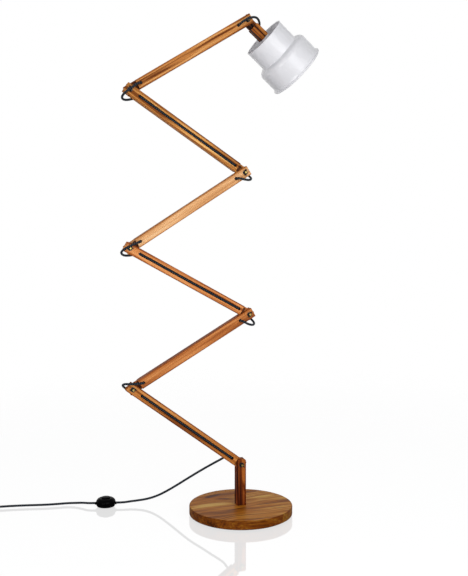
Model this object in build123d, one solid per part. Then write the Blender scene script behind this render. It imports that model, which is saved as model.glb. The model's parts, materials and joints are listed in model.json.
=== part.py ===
"""A floor lamp whose stem is a zig-zag of six equal wooden arms, hinged one on the next.

Each arm has a fork at its upper end and a tenon at its lower end. A bolt goes through
every joint from behind and a wing nut clamps it in front. A fabric-covered cord runs in a
groove along each arm, changes side through a hole at each end, and loops round the joints.
The head is a short neck with a stepped enamel shade. Sizes are in millimetres. The origin
is on the floor under the middle of the base, X runs to the right along the zig-zag,
Y runs from the front to the back along the hinge bolts, and Z runs up.
"""

from build123d import *

import os
from math import cos, pi, radians, sin, sqrt, tan

# Wooden stock, shared by the post, the arms and the neck
STOCK_W = 27.5  # across the arm, in the plane of the zig-zag
STOCK_T = 25.5  # along the hinge bolts
EDGE_EASE = 1.0  # chamfer on every outer wooden edge
CUT_PAST = 1.0  # how far a cut runs on past the wood

# Base
BASE_D = 300.0
BASE_T = 25.4
BASE_EDGE_R = 2.5
FELT_T = 2.0
FELT_MARGIN = 6.0
RECESS_DEPTH = 8.0
BALLAST_D = 220.0
BALLAST_T = 6.0
BALLAST_CLEAR = 0.6
BALLAST_EYE_D = 30.0
SCREW_CIRCLE_D = 170.0
SCREW_COUNT = 3
SCREW_D = 4.0
SCREW_HEAD_D = 8.0
SCREW_HEAD_T = 2.6
SCREW_LENGTH = 18.0
SCREW_HEAD_SUNK = 0.3
PILOT_CLEAR = 0.05

# Post and the bolt that holds it to the base
POST_X = -1.5
PIVOT_1_Z = 147.0
POST_ABOVE_PIVOT = 16.0
POST_CORNER = 4.0
POST_SLOT_BELOW = 20.0
POST_BOLT_D = 8.0
POST_BOLT_HEAD_D = 15.0
POST_BOLT_HEAD_T = 5.2
POST_BOLT_LENGTH = 48.0
POST_BOLT_TIP_ROOM = 1.0
POST_WASHER_D = 22.0
POST_WASHER_T = 1.6
INSERT_D = 12.0
INSERT_LENGTH = 22.0
BOLT_HOLE_CLEAR = 0.3
PRESS_CLEAR = 0.02

# Arms and their joints
ARM_LENGTH = 393.0  # from pivot to pivot
ARM_RISE = (36.8, 30.7, 29.1, 32.8, 33.8, 31.8)  # degrees above level, lowest arm first
FORK_END = 14.0
TENON_END = 12.0
SHOULDER = 25.0
POST_SHOULDER = 19.5  # the lowest arm's, whose post has cut corners
SLOT_BELOW = 27.0
TENON_T = 8.7
SIDE_GAP = 0.3  # between the tenon and each cheek
HINGE_D = 6.0
RUNNING_FIT = 0.05
BOLT_HEAD_D = 13.0
BOLT_HEAD_T = 4.0
BOLT_HEAD_EDGE_R = 2.0
BOLT_PROUD = 10.0  # how far the bolt's end stands in front of the cheek
BOLT_TIP = 0.8
WASHER_D = 14.0
WASHER_T = 1.2
WASHER_CLEAR = 0.1

# Wing nuts
NUT_CLEAR = 0.1
HUB_FOOT_D = 11.0
HUB_TOP_D = 9.0
HUB_HEIGHT = 6.5
WING_REACH = 9.6
WING_HEIGHT = 9.2
WING_ROOT = 3.2  # from the bolt's line to the middle of the ear's root
WING_ROOT_R = 2.9
WING_EAR_R = 2.5
WING_T = 2.2
WING_TURN = (-40.0, 0.0, 63.0, 5.0, 90.0, 100.0, 75.0)  # degrees from level, seen from the front

# Cord along the arms
CORD_D = 6.5
GROOVE_W = 8.0
GROOVE_AXIS = 3.75  # depth of the cord's centre below the arm's face
HOLE_D = 9.0
HOLE_LOW = 35.0  # from the lower pivot
HOLE_HIGH = 32.2  # from the upper pivot
HOLE_BEND_R = 6.5

# Neck and head
NECK_DROP = 40.6  # degrees below level
NECK_LENGTH = 68.0  # from the top pivot to the wood's end
NECK_HOLE = 45.0
SHADE_CANT = 3.0  # degrees that the shade leans back from the neck's line
COLLAR_LENGTH = 18.0
COLLAR_INSET = 0.6
NIPPLE_D = 10.0
NIPPLE_BORE_D = 7.5
NIPPLE_IN_WOOD = 10.0
NIPPLE_IN_HOLDER = 9.0
BRIDGE_T = 1.5
BRIDGE_W = 16.0
BRIDGE_TAB = 12.0
SHADE_START = 66.0  # the upper rim, from the top pivot
SHADE_TOP_R = 63.0
SHADE_BODY_R = 82.6
SHADE_STEP = 62.6
SHOULDER_SLOPE = 22.0  # degrees off square to the axis
SHADE_LENGTH = 138.0
SHADE_WALL = 1.2
STEP_R = 2.0
SHOULDER_R = 16.0
LIP_LENGTH = 9.0
LIP_FLARE = 2.6
LIP_R = 6.0
LIP_BEAD_R = 2.8
TOP_BEAD_R = 1.4
HOLDER_LENGTH = 52.0
HOLDER_R = 19.5
HOLDER_CAP_R = 12.0
HOLDER_CAP = 12.0
HOLDER_CAP_KNEE = 3.6
HOLDER_CAP_KNEE_R = 16.6
HOLDER_SKIRT_R = 18.4
HOLDER_SKIRT = 22.0
HOLDER_LIP = 3.0
SOCKET_R = 14.2
SOCKET_DEPTH = 32.0
SLEEVE_T = 0.5
SLEEVE_LENGTH = 26.0
LAMP_CAP_R = 13.2
LAMP_CAP_LENGTH = 25.0
LAMP_TIP_R = 5.0
LAMP_TIP = 3.0
LAMP_IN_SOCKET = 3.5  # free depth behind the lamp's contact
GLOBE_R = 22.5
GLOBE_NECK_R = 12.6
GLOBE_LENGTH = 53.0
GLASS_T = 1.0

# Foot switch
SWITCH_X = -368.0
SWITCH_Y = 181.0
SWITCH_TURN = -12.0  # degrees, the cord's line through it, seen from above
SWITCH_R = 29.0
SWITCH_FOOT_R = 27.0
SWITCH_FOOT_EDGE = 1.0
SWITCH_BASE_T = 11.0
SWITCH_RIM_Z = 5.5  # where the foot has grown to its full width
SWITCH_COVER_TOP = 24.0
SWITCH_TOP_R = 17.5
SWITCH_SHOULDER_R = 26.4
SWITCH_SHOULDER_Z = 19.0
SWITCH_WALL = 2.0
SWITCH_ENTRY_Z = 8.5
SWITCH_BOSS_R = 5.0
SWITCH_BOSS = 3.0
BUTTON_R = 13.0
BUTTON_TOP = 28.0
BUTTON_DOME_R = 60.0  # of the arc over the button's top
BUTTON_EDGE_R = 1.2
BUTTON_FLANGE = 2.0
BUTTON_FLANGE_T = 1.5
BUTTON_CLEAR = 0.4

# Coil and plug
COIL_X = -738.0
COIL_Y = 203.5
COIL_R = 46.5  # centre line of the outermost turn
COIL_PITCH = 7.1
COIL_RISE = 7.1
COIL_TURNS_IN = 2.25
COIL_TURNS_CLIMB = 0.5
COIL_TURNS_OUT = 2.5
COIL_START_TURN = 0.25
COIL_END_SIDE = 4.5
COIL_END_RUN = 34.0
PLUG_Z = 7.0
PLUG_NOSE_LENGTH = 26.0
PLUG_NOSE_R = 4.6
PLUG_NOSE_ROOT_R = 6.6
PLUG_W = 34.0
PLUG_BACK_W = 18.7
PLUG_SHOULDER = 18.2  # along the body, where it has its full width
PLUG_T = 13.6
PLUG_LENGTH = 33.0
PLUG_EDGE_R = 3.0
PIN_D = 4.0
PIN_PITCH = 18.6
PIN_LENGTH = 19.0
PIN_IN_BODY = 6.0

# What follows from the sizes above
FACE = STOCK_T / 2
BASE_TOP = FELT_T + BASE_T
RECESS_TOP = FELT_T + RECESS_DEPTH
POST_TOP = PIVOT_1_Z + POST_ABOVE_PIVOT
SLOT_T = TENON_T + 2 * SIDE_GAP
CORD_R = CORD_D / 2
HINGE_R = HINGE_D / 2
GROOVE_Y = FACE - GROOVE_AXIS
FRONT, BACK = -1, 1


def headings():
    """The direction of each arm, from its lower to its upper pivot, in degrees from +X."""
    return [180 - rise if n % 2 == 0 else rise for n, rise in enumerate(ARM_RISE)]


def pivots():
    """The seven joints' centres, from the post's up."""
    points = [Vector(POST_X, 0, PIVOT_1_Z)]
    for heading in headings():
        turn = radians(heading)
        points.append(points[-1] + ARM_LENGTH * Vector(cos(turn), 0, sin(turn)))
    return points


HEADINGS = headings()
PIVOTS = pivots()


def block(x0, x1, y0, y1, z0, z1):
    """A box between two corners."""
    middle = Pos((x0 + x1) / 2, (y0 + y1) / 2, (z0 + z1) / 2)
    return middle * Box(x1 - x0, y1 - y0, z1 - z0)


def rod_x(radius, x0, x1):
    """A round bar on the X axis."""
    return Pos((x0 + x1) / 2, 0, 0) * Rot(0, 90, 0) * Cylinder(radius, x1 - x0)


def rod_y(radius, y0, y1, x=0.0, z=0.0):
    """A round bar along Y."""
    return Pos(x, (y0 + y1) / 2, z) * Rot(90, 0, 0) * Cylinder(radius, y1 - y0)


def rod_z(radius, z0, z1, x=0.0, y=0.0):
    """A round bar along Z."""
    return Pos(x, y, (z0 + z1) / 2) * Cylinder(radius, z1 - z0)


def spun(points):
    """The solid of a closed outline of (along X, radius) points turned about the X axis."""
    return revolve(make_face(Polyline(*points, close=True)), axis=Axis.X)


def eased(wood):
    """A wooden piece with its outer edges chamfered."""
    return chamfer(wood.edges(), EDGE_EASE)


def corner_radii(points, share=0.45):
    """The radius at each inner point: a share of the shorter run over the tangent of half the turn."""
    radii = []
    for before, here, after in zip(points, points[1:], points[2:]):
        a, b = Vector(*here) - Vector(*before), Vector(*after) - Vector(*here)
        radii.append(share * min(a.length, b.length) / tan(radians(a.get_angle(b)) / 2))
    return radii


def swept(path, start, heading, radius):
    """A round tube along a path that starts at a point, in a direction."""
    section = Plane(origin=start, z_dir=heading) * Circle(radius)
    return sweep(section, path=path)


def tube(name, points, radii=None):
    """A cord along straight runs and tangent arcs, with its radii and volume checked in print."""
    own = radii or corner_radii(points)
    path = FilletPolyline(*points, radius=own)
    solid = swept(path, points[0], Vector(*points[1]) - Vector(*points[0]), CORD_R)
    share = solid.volume / (pi * CORD_R**2 * path.length)
    listed = " ".join(f"{r:.0f}" for r in own)
    print(f"{name}: length {path.length:.0f}, volume share {share:.4f}, radii {listed}")
    return solid


def on_arm(n, shape):
    """A shape from an arm's own frame, its lower pivot at the origin and X along it, to its place."""
    return Pos(*PIVOTS[n]) * Rot(0, -HEADINGS[n], 0) * shape


def on_neck(shape):
    """A shape from the neck's own frame to its place."""
    return Pos(*PIVOTS[-1]) * Rot(0, NECK_DROP, 0) * shape


def canted(shape):
    """A shape of the neck's frame, leaned back with the shade about the middle of the wood's end."""
    return Pos(NECK_LENGTH, 0, 0) * Rot(0, 0, SHADE_CANT) * Pos(-NECK_LENGTH, 0, 0) * shape


def on_head(shape):
    """A shape of the neck's frame to its place with the canted shade."""
    return on_neck(canted(shape))


def cord_side(n):
    """The face that an arm's cord lies in: the front on the first, third and fifth."""
    return FRONT if n % 2 == 0 else BACK


# Base and post


def base_disc():
    disc = fillet(rod_z(BASE_D / 2, FELT_T, BASE_TOP).edges(), BASE_EDGE_R)
    disc -= rod_z(BALLAST_D / 2 + BALLAST_CLEAR, FELT_T, RECESS_TOP)
    disc -= rod_z(POST_BOLT_D / 2 + BOLT_HOLE_CLEAR, RECESS_TOP, BASE_TOP, x=POST_X)
    for x, y in screw_places():
        disc -= rod_z(SCREW_D / 2 + PILOT_CLEAR, RECESS_TOP, screw_top(), x, y)
    return disc


def screw_places():
    places = []
    for n in range(SCREW_COUNT):
        turn = 2 * pi * n / SCREW_COUNT
        places.append((SCREW_CIRCLE_D / 2 * cos(turn), SCREW_CIRCLE_D / 2 * sin(turn)))
    return places


def screw_top():
    return RECESS_TOP - BALLAST_T + SCREW_HEAD_SUNK + SCREW_LENGTH


def base_felt():
    return rod_z(BASE_D / 2 - FELT_MARGIN, 0, FELT_T)


def screw_cone(x, y, grow=0.0):
    """A countersunk head, its wide end down."""
    bottom = RECESS_TOP - BALLAST_T + SCREW_HEAD_SUNK
    return Pos(x, y, bottom + SCREW_HEAD_T / 2) * Cone(
        SCREW_HEAD_D / 2 + grow, SCREW_D / 2 + grow, SCREW_HEAD_T
    )


def ballast_plate():
    bottom = RECESS_TOP - BALLAST_T
    plate = rod_z(BALLAST_D / 2, bottom, RECESS_TOP)
    plate -= rod_z(BALLAST_EYE_D / 2, bottom, RECESS_TOP)
    for x, y in screw_places():
        head_bottom = bottom + SCREW_HEAD_SUNK
        plate -= rod_z(SCREW_HEAD_D / 2 + PILOT_CLEAR, bottom, head_bottom, x, y)
        plate -= screw_cone(x, y, PILOT_CLEAR)
        plate -= rod_z(SCREW_D / 2 + PILOT_CLEAR, head_bottom + SCREW_HEAD_T, RECESS_TOP, x, y)
    return plate


def ballast_screws():
    screws = []
    for x, y in screw_places():
        shank_bottom = RECESS_TOP - BALLAST_T + SCREW_HEAD_SUNK + SCREW_HEAD_T
        screws.append(screw_cone(x, y) + rod_z(SCREW_D / 2, shank_bottom, screw_top(), x, y))
    return Compound(children=screws)


def post():
    half = STOCK_W / 2
    wood = eased(block(-half, half, -FACE, FACE, BASE_TOP, POST_TOP))
    for side in (-1, 1):
        corner = Pos(side * half, 0, POST_TOP) * Rot(0, 45, 0)
        wood -= corner * Box(POST_CORNER * sqrt(2), STOCK_T, POST_CORNER * sqrt(2))
    slot_bottom = PIVOT_1_Z - POST_SLOT_BELOW
    wood -= block(-half, half, -SLOT_T / 2, SLOT_T / 2, slot_bottom, POST_TOP)
    wood -= rod_y(HINGE_R + RUNNING_FIT, -FACE, FACE, z=PIVOT_1_Z)
    insert_top = BASE_TOP + INSERT_LENGTH
    wood -= rod_z(INSERT_D / 2 + PRESS_CLEAR, BASE_TOP, insert_top)
    hole_top = post_bolt_top() + POST_BOLT_TIP_ROOM
    wood -= rod_z(POST_BOLT_D / 2 + BOLT_HOLE_CLEAR, insert_top, hole_top)
    return Pos(POST_X, 0, 0) * wood


def post_bolt_top():
    return RECESS_TOP - POST_WASHER_T + POST_BOLT_LENGTH


def post_insert():
    sleeve = rod_z(INSERT_D / 2, BASE_TOP, BASE_TOP + INSERT_LENGTH, x=POST_X)
    return sleeve - rod_z(
        POST_BOLT_D / 2 + RUNNING_FIT, BASE_TOP, BASE_TOP + INSERT_LENGTH, x=POST_X
    )


def post_bolt():
    """A hexagon bolt up through the base into the post's threaded insert, with its washer."""
    washer_bottom = RECESS_TOP - POST_WASHER_T
    head_bottom = washer_bottom - POST_BOLT_HEAD_T
    head = extrude(RegularPolygon(POST_BOLT_HEAD_D / 2, 6), amount=POST_BOLT_HEAD_T)
    bolt = Pos(POST_X, 0, head_bottom) * head
    bolt += rod_z(POST_BOLT_D / 2, washer_bottom, post_bolt_top(), x=POST_X)
    washer = rod_z(POST_WASHER_D / 2, washer_bottom, RECESS_TOP, x=POST_X)
    washer -= rod_z(POST_BOLT_D / 2 + WASHER_CLEAR, washer_bottom, RECESS_TOP, x=POST_X)
    return Compound(children=[bolt, washer])


# Arms, hinge bolts and wing nuts


def cord_run(n):
    """The cord's route through an arm: in at one hole, along the groove and out at the other."""
    side = cord_side(n)
    low, high = HOLE_LOW, ARM_LENGTH - HOLE_HIGH
    far, deep = -side * FACE, side * GROOVE_Y
    return [(low, far, 0), (low, deep, 0), (high, deep, 0), (high, far, 0)]


def tenoned(wood, shoulder):
    """Wood along X with its cheeks cut away below a shoulder, leaving the tenon."""
    past = STOCK_W / 2 + CUT_PAST
    for side in (-1, 1):
        near, outer = sorted((side * TENON_T / 2, side * (FACE + CUT_PAST)))
        wood -= block(-TENON_END - CUT_PAST, shoulder, near, outer, -past, past)
    return wood


def arm(n):
    half, past = STOCK_W / 2, STOCK_W / 2 + CUT_PAST
    shoulder = POST_SHOULDER if n == 0 else SHOULDER
    end = ARM_LENGTH + FORK_END
    wood = tenoned(eased(block(-TENON_END, end, -FACE, FACE, -half, half)), shoulder)
    slot = (ARM_LENGTH - SLOT_BELOW, end + CUT_PAST, -SLOT_T / 2, SLOT_T / 2)
    wood -= block(*slot, -past, past)
    for x in (0, ARM_LENGTH):
        wood -= rod_y(HINGE_R + RUNNING_FIT, -FACE, FACE, x=x)
    route = cord_run(n)
    heading = Vector(*route[1]) - Vector(*route[0])
    path = FilletPolyline(*route, radius=HOLE_BEND_R)
    wood -= swept(path, route[0], heading, GROOVE_W / 2)
    low, high = route[0][0], route[-1][0]
    inner, face = sorted((cord_side(n) * GROOVE_Y, cord_side(n) * FACE))
    wood -= block(low, high, inner, face, -GROOVE_W / 2, GROOVE_W / 2)
    for x in (low, high):
        wood -= rod_y(HOLE_D / 2, -FACE, FACE, x=x)
    return on_arm(n, wood)


def arm_cable(n):
    radii = [HOLE_BEND_R] * 2
    return on_arm(n, tube(f"arm_cable_{n + 1}", cord_run(n), radii=radii))


def hinge_bolt(n):
    """A bolt from behind with a washer under its head and one in front under the nut."""
    head_y = FACE + WASHER_T
    tip = -FACE - BOLT_PROUD
    head = fillet(
        rod_y(BOLT_HEAD_D / 2, head_y, head_y + BOLT_HEAD_T).edges().group_by(Axis.Y)[-1],
        BOLT_HEAD_EDGE_R,
    )
    bolt = head + chamfer(rod_y(HINGE_R, tip, head_y).edges().group_by(Axis.Y)[0], BOLT_TIP)
    rings = []
    for y in (-FACE - WASHER_T, FACE):
        ring = rod_y(WASHER_D / 2, y, y + WASHER_T)
        rings.append(ring - rod_y(HINGE_R + WASHER_CLEAR, y, y + WASHER_T))
    return Pos(*PIVOTS[n]) * Compound(children=[bolt, *rings])


def wing_nut(n):
    """A tapered hub with two ears, its foot against the front washer."""
    foot = FACE + WASHER_T + NUT_CLEAR
    hub = spun(
        [(foot, 0), (foot, HUB_FOOT_D / 2), (foot + HUB_HEIGHT, HUB_TOP_D / 2), (foot + HUB_HEIGHT, 0)]
    )
    root = Pos(foot + HUB_HEIGHT / 2, WING_ROOT) * Circle(WING_ROOT_R)
    tip = Pos(foot + WING_HEIGHT - WING_EAR_R, WING_REACH - WING_EAR_R) * Circle(WING_EAR_R)
    ear = extrude(make_hull(root.edges() + tip.edges()), amount=WING_T / 2, both=True)
    nut = hub + ear + mirror(ear, about=Plane.XZ)
    nut -= rod_x(HINGE_R + RUNNING_FIT, foot, foot + WING_HEIGHT)
    # The nut's own X axis turns to the front, and its ears then turn about it.
    turned = Rot(0, -WING_TURN[n], 0) * Rot(0, 0, -90) * nut
    return Pos(*PIVOTS[n]) * turned


# Cord loops round the joints: points chosen by hand from each pivot, between the two holes

LOOP_POINTS = {
    1: [(6, 25, -14.5), (-7, 26, -7), (-17.5, 22, 0.5), (-25, 10, 8), (-26.5, -6, 15),
        (-19, -18.5, 18), (-6, -24, 17.5), (10, -25, 18)],
    2: [(-21.5, -25, -18.5), (-6, -22.5, -27), (10.5, -12, -31), (20, 2, -28.5),
        (20, 16, -22), (11.5, 25, -12), (-5, 26, 2)],
    3: [(16.5, 25, -19), (-1, 20.5, -21), (-15.5, 9, -19.5), (-23.5, -4, -12.5),
        (-21, -17, -5), (-9.5, -27, 3), (5, -29, 10), (18, -26, 15.5)],
    4: [(-19, -25, -17), (-3, -22, -20.5), (13.5, -12, -21), (23.5, 2, -16.5),
        (23, 16, -9.5), (13, 25, 0), (-6, 26, 12.5)],
    5: [(14.5, 25, -20), (-1, 20.5, -24.5), (-15, 9, -26), (-22, -4, -21.5),
        (-18, -17, -13.5), (-7.5, -27, -5), (4.5, -29, 3.5), (17, -26, 13.5)],
    6: [(-17, -25.5, -8), (-4, -29, -0.5), (12, -25, 6), (27.5, -12.5, 7.5), (39, 3, 2),
        (44.5, 17, -8)],
}  # fmt: skip


def hole_place(n, end):
    """The centre line of an arm's lower or upper cord hole."""
    along = HOLE_LOW if end == "low" else ARM_LENGTH - HOLE_HIGH
    turn = radians(HEADINGS[n])
    return PIVOTS[n] + along * Vector(cos(turn), 0, sin(turn))


def neck_hole_place():
    turn = radians(-NECK_DROP)
    return PIVOTS[-1] + NECK_HOLE * Vector(cos(turn), 0, sin(turn))


def cable_loop(n):
    """The cord round the joint above arm n, from that arm's upper hole to the next piece's hole."""
    side = -cord_side(n)
    start = hole_place(n, "high")
    stop = hole_place(n + 1, "low") if n + 1 < len(ARM_RISE) else neck_hole_place()
    far = -side if n + 1 < len(ARM_RISE) else BACK
    out = FACE + CORD_D
    points = [(start.X, side * FACE, start.Z), (start.X, side * out, start.Z)]
    points += [tuple(PIVOTS[n + 1] + Vector(*offset)) for offset in LOOP_POINTS[n + 1]]
    points += [(stop.X, far * out, stop.Z), (stop.X, far * FACE, stop.Z)]
    return tube(f"cable_loop_{n + 2}", points)


# Neck, shade and lamp


def neck_route():
    """The cord's way in from the back face and along the canted shade's line, in the neck's frame."""
    cant = radians(SHADE_CANT)
    inner = (NECK_HOLE, (NECK_HOLE - NECK_LENGTH) * tan(cant), 0)
    reach = cord_end() - NECK_LENGTH
    end = (NECK_LENGTH + reach * cos(cant), reach * sin(cant), 0)
    return [(NECK_HOLE, FACE, 0), inner, end]


def cord_end():
    """Where the cord ends inside the lamp holder."""
    return NECK_LENGTH + COLLAR_LENGTH + BRIDGE_T + NIPPLE_IN_HOLDER


def neck():
    half = STOCK_W / 2
    wood = tenoned(eased(block(-TENON_END, NECK_LENGTH, -FACE, FACE, -half, half)), SHOULDER)
    wood -= rod_y(HINGE_R + RUNNING_FIT, -FACE, FACE)
    route = neck_route()
    path = FilletPolyline(*route, radius=HOLE_BEND_R)
    wood -= swept(path, route[0], Vector(0, -1, 0), GROOVE_W / 2)
    wood -= rod_y(HOLE_D / 2, FACE - CORD_D, FACE, x=NECK_HOLE)
    bottom, past = NECK_LENGTH - NIPPLE_IN_WOOD, NECK_LENGTH + CUT_PAST
    wood -= canted(rod_x(NIPPLE_D / 2 + PRESS_CLEAR, bottom, past))
    return on_neck(wood)


def neck_cable():
    return on_neck(tube("neck_cable", neck_route(), radii=[HOLE_BEND_R]))


def socket_collar():
    """The pale square block between the neck and the shade, its near end cut flush to the wood."""
    half, deep = STOCK_W / 2 - COLLAR_INSET, FACE - COLLAR_INSET
    start, end = NECK_LENGTH - COLLAR_LENGTH, NECK_LENGTH + COLLAR_LENGTH
    collar = eased(block(start, end, -deep, deep, -half, half))
    collar = canted(collar - rod_x(NIPPLE_D / 2 + PRESS_CLEAR, start, end))
    past = STOCK_W / 2 + CUT_PAST
    return on_neck(collar - block(start - CUT_PAST, NECK_LENGTH, -past, past, -past, past))


def holder_nipple():
    start, end = NECK_LENGTH - NIPPLE_IN_WOOD, cord_end()
    return on_head(rod_x(NIPPLE_D / 2, start, end) - rod_x(NIPPLE_BORE_D / 2, start, end))


def shade_bridge():
    """A strap across the shade with a tab up each wall, clamped between collar and holder."""
    start = NECK_LENGTH + COLLAR_LENGTH
    inner = SHADE_TOP_R - SHADE_WALL
    strap = rod_x(inner, start, start + BRIDGE_TAB)
    strap -= rod_x(inner - BRIDGE_T, start + BRIDGE_T, start + BRIDGE_TAB)
    strap &= block(start, start + BRIDGE_TAB, -BRIDGE_W / 2, BRIDGE_W / 2, -inner, inner)
    return on_head(strap - rod_x(NIPPLE_D / 2 + PRESS_CLEAR, start, start + BRIDGE_T))


def shade():
    """A stepped shell with a rolled bead at both rims."""
    lean = tan(radians((90 - SHOULDER_SLOPE) / 2))
    shoulder = SHADE_STEP + (SHADE_BODY_R - SHADE_TOP_R) * tan(radians(SHOULDER_SLOPE))
    lip = SHADE_LENGTH - LIP_BEAD_R
    outer = [
        (TOP_BEAD_R, SHADE_TOP_R),
        (SHADE_STEP, SHADE_TOP_R),
        (shoulder, SHADE_BODY_R),
        (lip - LIP_LENGTH, SHADE_BODY_R),
        (lip, SHADE_BODY_R + LIP_FLARE),
    ]
    flare = LIP_FLARE / LIP_LENGTH * SHADE_WALL / 2
    inner = [
        (TOP_BEAD_R, SHADE_TOP_R - SHADE_WALL),
        (SHADE_STEP + SHADE_WALL * lean, SHADE_TOP_R - SHADE_WALL),
        (shoulder + SHADE_WALL * lean, SHADE_BODY_R - SHADE_WALL),
        (lip - LIP_LENGTH + flare, SHADE_BODY_R - SHADE_WALL),
        (lip, SHADE_BODY_R + LIP_FLARE - SHADE_WALL),
    ]
    outside = FilletPolyline(*outer, radius=[STEP_R, SHOULDER_R, LIP_R])
    inside = FilletPolyline(
        *inner, radius=[STEP_R + SHADE_WALL, SHOULDER_R - SHADE_WALL, LIP_R + SHADE_WALL]
    )
    ends = [Line(outer[0], inner[0]), Line(outer[-1], inner[-1])]
    shell = revolve(make_face(outside + inside + ends), axis=Axis.X)
    top = Pos(TOP_BEAD_R, SHADE_TOP_R - SHADE_WALL / 2) * Circle(TOP_BEAD_R)
    rim = Pos(lip, SHADE_BODY_R + LIP_FLARE - SHADE_WALL / 2) * Circle(LIP_BEAD_R)
    shell += revolve(top, axis=Axis.X) + revolve(rim, axis=Axis.X)
    return on_head(Pos(SHADE_START, 0, 0) * shell)


def lamp_holder():
    start = NECK_LENGTH + COLLAR_LENGTH + BRIDGE_T
    end = start + HOLDER_LENGTH
    body = spun(
        [
            (start, 0),
            (start, HOLDER_CAP_R),
            (start + HOLDER_CAP_KNEE, HOLDER_CAP_KNEE_R),
            (start + HOLDER_CAP, HOLDER_R),
            (end - HOLDER_SKIRT, HOLDER_R),
            (end - HOLDER_SKIRT, HOLDER_SKIRT_R),
            (end - HOLDER_LIP, HOLDER_SKIRT_R),
            (end - HOLDER_LIP, HOLDER_R),
            (end, HOLDER_R),
            (end, 0),
        ]
    )
    body -= rod_x(SOCKET_R, end - SOCKET_DEPTH, end)
    return on_head(body - rod_x(NIPPLE_D / 2 + PRESS_CLEAR, start, start + NIPPLE_IN_HOLDER))


def socket_floor():
    return NECK_LENGTH + COLLAR_LENGTH + BRIDGE_T + HOLDER_LENGTH - SOCKET_DEPTH


def holder_sleeve():
    """The threaded metal sleeve in the lamp holder's mouth."""
    start = socket_floor() + LAMP_TIP
    outside = rod_x(SOCKET_R - PRESS_CLEAR, start, start + SLEEVE_LENGTH)
    return on_head(outside - rod_x(SOCKET_R - SLEEVE_T, start, start + SLEEVE_LENGTH))


def lamp_cap_start():
    return socket_floor() + LAMP_IN_SOCKET


def bulb_cap():
    start = lamp_cap_start()
    cap = rod_x(LAMP_TIP_R, start, start + LAMP_TIP)
    return on_head(cap + rod_x(LAMP_CAP_R, start + LAMP_TIP, start + LAMP_CAP_LENGTH))


def bulb_glass():
    """A round opal globe, hollow, on the screw cap."""
    start = lamp_cap_start() + LAMP_CAP_LENGTH
    end = start + GLOBE_LENGTH
    middle = end - GLOBE_R
    reach = sqrt(GLOBE_R**2 - GLOBE_NECK_R**2)
    outside = Polyline((start, 0), (start, GLOBE_NECK_R), (middle - reach, GLOBE_NECK_R))
    outside += ThreePointArc((middle - reach, GLOBE_NECK_R), (middle, GLOBE_R), (end, 0))
    glass = revolve(make_face(outside + Line((end, 0), (start, 0))), axis=Axis.X)
    hollow = Pos(middle, 0, 0) * Sphere(GLOBE_R - GLASS_T)
    hollow += rod_x(GLOBE_NECK_R - GLASS_T, start + GLASS_T, middle)
    return on_head(glass - hollow)


# Foot switch


def on_switch(shape):
    return Pos(SWITCH_X, SWITCH_Y, 0) * Rot(0, 0, SWITCH_TURN) * shape


def turned_up(points):
    """The solid of a closed outline of (radius, height) points turned about the Z axis."""
    face = make_face(Polyline(*[(r, 0, z) for r, z in points], close=True))
    return revolve(face, axis=Axis.Z)


def switch_base():
    base = turned_up(
        [(0, 0), (SWITCH_FOOT_R - SWITCH_FOOT_EDGE, 0), (SWITCH_FOOT_R, SWITCH_FOOT_EDGE)]
        + [(SWITCH_R, SWITCH_RIM_Z), (SWITCH_R, SWITCH_BASE_T), (0, SWITCH_BASE_T)]
    )
    pocket_r, pocket_z = SWITCH_R - 2 * SWITCH_WALL, 2 * SWITCH_WALL
    boss = SWITCH_R + SWITCH_BOSS
    bosses = Pos(0, 0, SWITCH_ENTRY_Z) * rod_x(SWITCH_BOSS_R, -boss, boss)
    bosses &= rod_z(boss + SWITCH_BOSS, 0, SWITCH_BASE_T)
    return on_switch(base + bosses - rod_z(pocket_r, pocket_z, SWITCH_BASE_T))


def cover_outline(inset):
    """The dome's outline from its foot to the button's hole, moved in by a wall."""
    foot = (SWITCH_R - inset, SWITCH_BASE_T)
    shoulder = (SWITCH_SHOULDER_R - inset, SWITCH_SHOULDER_Z)
    return foot, shoulder, (SWITCH_TOP_R, SWITCH_COVER_TOP - inset)


def switch_cover():
    hole = BUTTON_R + BUTTON_CLEAR
    foot, middle, top = cover_outline(0)
    low, mid, high = cover_outline(SWITCH_WALL)

    def at(point):
        return (point[0], 0, point[1])

    skin = ThreePointArc(at(foot), at(middle), at(top)) + ThreePointArc(at(low), at(mid), at(high))
    edge = [Line(at(foot), at(low)), Line(at(top), (hole, 0, top[1]))]
    edge += [Line((hole, 0, top[1]), (hole, 0, high[1])), Line((hole, 0, high[1]), at(high))]
    shell = revolve(make_face(skin + edge), axis=Axis.Z)
    boss = SWITCH_R + SWITCH_BOSS
    grown = SWITCH_BOSS_R + BOLT_HOLE_CLEAR
    return on_switch(shell - Pos(0, 0, SWITCH_ENTRY_Z) * rod_x(grown, -boss, boss))


def switch_button():
    """A domed button with a flange under the cover's edge."""
    flange_top = SWITCH_COVER_TOP - SWITCH_WALL - BUTTON_CLEAR
    flange_bottom = flange_top - BUTTON_FLANGE_T
    dome = Pos(0, 0, BUTTON_TOP - BUTTON_DOME_R) * Sphere(BUTTON_DOME_R)
    body = rod_z(BUTTON_R, flange_bottom, BUTTON_TOP) & dome
    rings = body.edges().filter_by(lambda edge: edge.is_closed)
    body = fillet(rings.sort_by(Axis.Z)[-1], BUTTON_EDGE_R)
    return on_switch(body + rod_z(BUTTON_R + BUTTON_FLANGE, flange_bottom, flange_top))


# Free cord on the floor


def switch_port(side):
    """The middle of a boss's end face and the way that the cord leaves it."""
    turn = radians(SWITCH_TURN)
    way = side * Vector(cos(turn), sin(turn), 0)
    return Vector(SWITCH_X, SWITCH_Y, SWITCH_ENTRY_Z) + (SWITCH_R + SWITCH_BOSS) * way, way


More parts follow.
